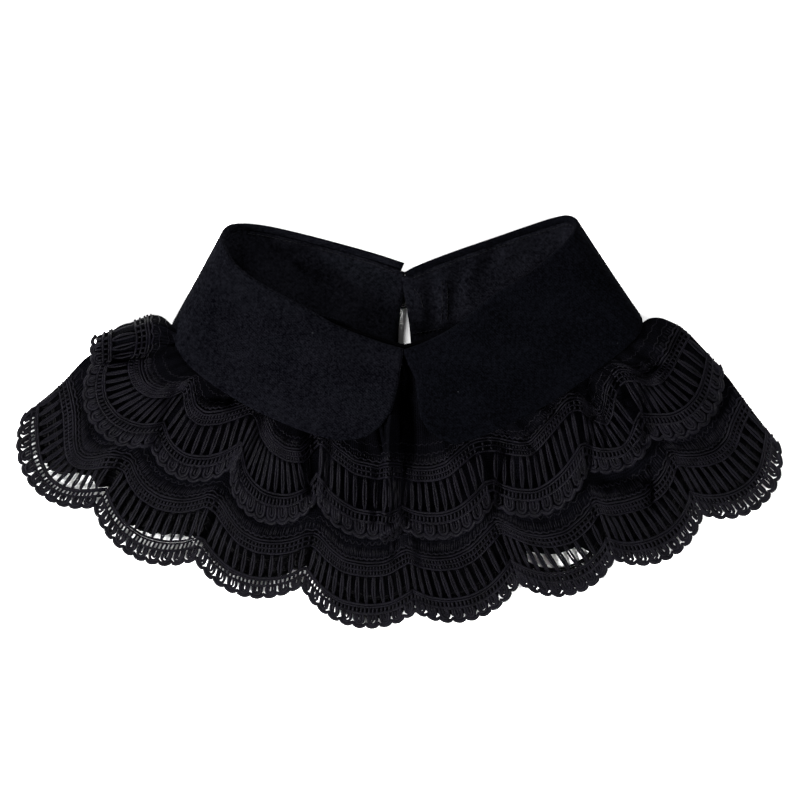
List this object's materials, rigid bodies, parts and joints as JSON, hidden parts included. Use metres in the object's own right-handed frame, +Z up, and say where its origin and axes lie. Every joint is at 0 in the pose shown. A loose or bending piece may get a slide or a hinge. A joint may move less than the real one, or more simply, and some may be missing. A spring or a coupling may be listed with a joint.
{
  "type": "detachable collar",
  "caption": "Detachable collar laid flat: turned-down collar with rounded points on a stand open at the back, over two tiers of scalloped lace.",
  "frame": {"origin": "centre of the footprint on the surface that the collar lies on", "axes": "+X across the collar to its right side as seen from above, +Y towards the back of the neck, +Z up from the surface"},
  "size_m": [0.3848, 0.2078, 0.024],
  "materials": {
    "leaf_left_cloth": "matt black suiting weave",
    "leaf_right_cloth": "matt black suiting weave",
    "stand_cloth": "matt black suiting weave",
    "upper_lace": "black guipure lace",
    "lower_lace": "black guipure lace",
    "back_lace": "black guipure lace",
    "button_resin": "black resin",
    "loop_cord": "black cord"
  },
  "bodies": {
    "root": {"collar_leaf_left": "leaf_left_cloth", "collar_leaf_right": "leaf_right_cloth", "collar_stand": "stand_cloth", "ruffle_upper": "upper_lace", "ruffle_lower": "lower_lace", "ruffle_back": "back_lace", "closing_button": "button_resin", "closing_loop": "loop_cord"}
  },
  "joints": []
}
